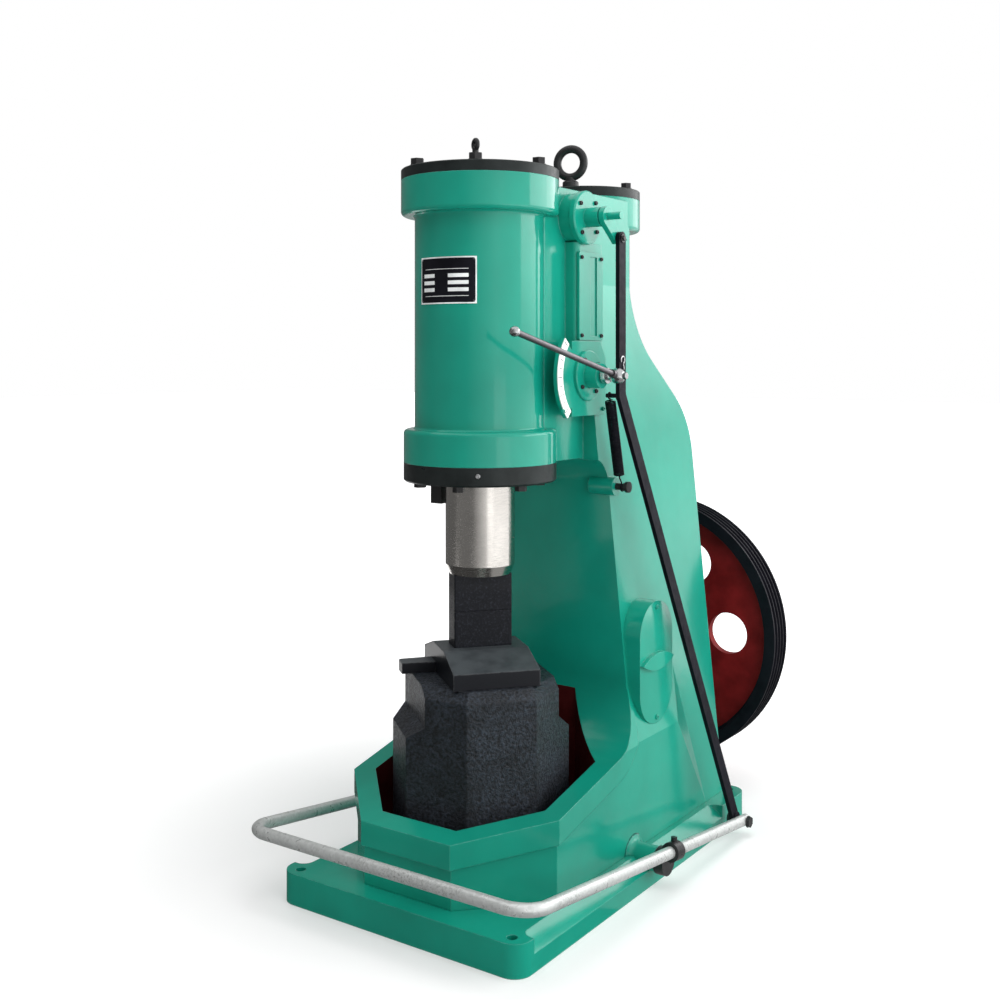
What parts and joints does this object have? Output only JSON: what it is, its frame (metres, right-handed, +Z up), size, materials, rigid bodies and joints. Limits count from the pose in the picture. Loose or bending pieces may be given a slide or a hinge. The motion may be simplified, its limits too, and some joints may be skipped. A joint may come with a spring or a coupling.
{
  "type": "pneumatic forging hammer",
  "caption": "Cast frame forging hammer with air cylinder, ram and dies over an octagonal anvil tub, foot treadle linkage, control handle and rear flywheel.",
  "frame": {"origin": "centre of the base plate's underside, on the floor", "axes": "+Z up, -Y towards the ram and the smith, +X towards the side with the valve gear and the control handle"},
  "size_m": [0.787, 1.3195, 1.724],
  "materials": {
    "base_plate": "gloss enamel",
    "anvil_housing": "gloss enamel",
    "column": "gloss enamel",
    "working_cylinder": "gloss enamel",
    "anvil_block": "rough black cast",
    "sow_block": "rough black cast",
    "sow_key": "black forged steel",
    "lower_die": "black forged steel",
    "front_cover": "black satin paint",
    "compressor_cover": "black satin paint",
    "cover_bolts": "black satin",
    "front_eyebolt": "black satin",
    "lifting_eyebolt": "black satin",
    "gland_flange": "black satin paint",
    "gland_bolts": "black satin",
    "ram_latch": "black satin",
    "valve_chest_cover": "gloss enamel",
    "upper_valve_cover": "gloss enamel",
    "quadrant_plate": "gloss enamel",
    "scale_arc": "white enamel",
    "lower_valve_cover": "gloss enamel",
    "side_cover": "gloss enamel",
    "spring_anchor": "black satin",
    "return_spring": "black satin",
    "treadle_lugs": "gloss enamel",
    "treadle_stubs": "bright steel",
    "crank_bearing": "gloss enamel",
    "nameplate": "silver border, black field",
    "ram": "ground steel",
    "upper_die": "black forged steel",
    "flywheel": "red oxide paint, black rim",
    "treadle": "galvanised",
    "treadle_fittings": "black satin",
    "pull_rod": "black satin",
    "valve_lever": "gloss enamel",
    "hand_lever": "bright steel"
  },
  "bodies": {
    "frame": {"base_plate": "base_plate", "anvil_housing": "anvil_housing", "column": "column", "working_cylinder": "working_cylinder", "anvil_block": "anvil_block", "sow_block": "sow_block", "sow_key": "sow_key", "lower_die": "lower_die", "front_cover": "front_cover", "compressor_cover": "compressor_cover", "cover_bolts": "cover_bolts", "front_eyebolt": "front_eyebolt", "lifting_eyebolt": "lifting_eyebolt", "gland_flange": "gland_flange", "gland_bolts": "gland_bolts", "ram_latch": "ram_latch", "valve_chest_cover": "valve_chest_cover", "upper_valve_cover": "upper_valve_cover", "quadrant_plate": "quadrant_plate", "scale_arc": "scale_arc", "lower_valve_cover": "lower_valve_cover", "side_cover": "side_cover", "spring_anchor": "spring_anchor", "return_spring": "return_spring", "treadle_lugs": "treadle_lugs", "treadle_stubs": "treadle_stubs", "crank_bearing": "crank_bearing", "nameplate": "nameplate"},
    "ram": {"ram": "ram", "upper_die": "upper_die"},
    "flywheel": {"flywheel": "flywheel"},
    "treadle": {"treadle": "treadle", "treadle_fittings": "treadle_fittings"},
    "pull_rod": {"pull_rod": "pull_rod"},
    "valve_lever": {"valve_lever": "valve_lever"},
    "hand_lever": {"hand_lever": "hand_lever"}
  },
  "joints": [
    {"name": "ram_slide", "type": "slide", "parent": "frame", "child": "ram", "axis": [0, 0, 1], "range_m": [0, 0.235]},
    {"name": "flywheel_spin", "type": "hinge", "parent": "frame", "child": "flywheel", "pos_m": [0, 0.66, 0.44], "axis": [0, 1, 0], "continuous": true},
    {"name": "treadle_pivot", "type": "hinge", "parent": "frame", "child": "treadle", "pos_m": [0, 0.004, 0.063], "axis": [1, 0, 0], "range_deg": [0, 4], "stiffness_Nm_per_rad": 60, "springref_deg": -28.65, "deforming": ["return_spring"]},
    {"name": "pull_rod_pivot", "type": "hinge", "parent": "treadle", "child": "pull_rod", "pos_m": [0.35, 0.38821, 0.04047], "axis": [1, 0, 0], "range_deg": [-5, 0]},
    {"name": "valve_lever_pivot", "type": "hinge", "parent": "frame", "child": "valve_lever", "pos_m": [0.2, -0.052, 1.518], "axis": [1, 0, 0], "range_deg": [0, 34]},
    {"name": "hand_lever_pivot", "type": "hinge", "parent": "frame", "child": "hand_lever", "pos_m": [0.2, -0.052, 1.156], "axis": [1, 0, 0], "range_deg": [-24, 45]}
  ],
  "couplings": [
    {"joint": "pull_rod_pivot", "follows": "treadle_pivot", "ratio": -1.193},
    {"joint": "valve_lever_pivot", "follows": "treadle_pivot", "ratio": 8.37}
  ]
}
